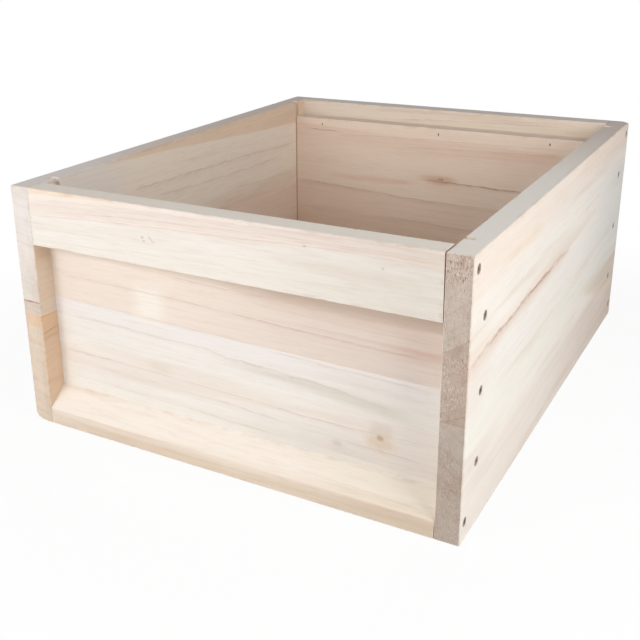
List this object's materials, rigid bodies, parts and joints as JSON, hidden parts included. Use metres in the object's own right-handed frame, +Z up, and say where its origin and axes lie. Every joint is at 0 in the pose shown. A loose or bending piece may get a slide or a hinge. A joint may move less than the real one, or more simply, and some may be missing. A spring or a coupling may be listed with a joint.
{
  "type": "beehive body box",
  "caption": "Open wooden beehive body for hanging frames: long side walls, set-back end boards with a lug ledge, outer hand rails and sloped bottom rails, screwed at the corners.",
  "frame": {"origin": "middle of the footprint, on the plane that the box stands on", "axes": "+X towards the right side wall, +Y towards the rear along the long side walls, +Z up out of the open top"},
  "size_m": [0.42, 0.516, 0.228],
  "materials": {
    "wall_wood": "planed, unfinished",
    "board_wood": "planed, unfinished",
    "rail_wood": "planed, unfinished",
    "screw_steel": "dull zinc plating",
    "pin_steel": "bare wire"
  },
  "bodies": {
    "root": {"left_wall_lower_stave": "wall_wood", "left_wall_upper_stave": "wall_wood", "right_wall_lower_stave": "wall_wood", "right_wall_upper_stave": "wall_wood", "front_board_lower_stave": "board_wood", "front_board_upper_stave": "board_wood", "rear_board_lower_stave": "board_wood", "rear_board_upper_stave": "board_wood", "front_top_rail": "rail_wood", "rear_top_rail": "rail_wood", "front_bottom_rail": "rail_wood", "rear_bottom_rail": "rail_wood", "front_left_screws": "screw_steel", "front_right_screws": "screw_steel", "rear_left_screws": "screw_steel", "rear_right_screws": "screw_steel", "front_top_rail_pins": "pin_steel", "rear_top_rail_pins": "pin_steel", "front_bottom_rail_pins": "pin_steel", "rear_bottom_rail_pins": "pin_steel"}
  },
  "joints": []
}
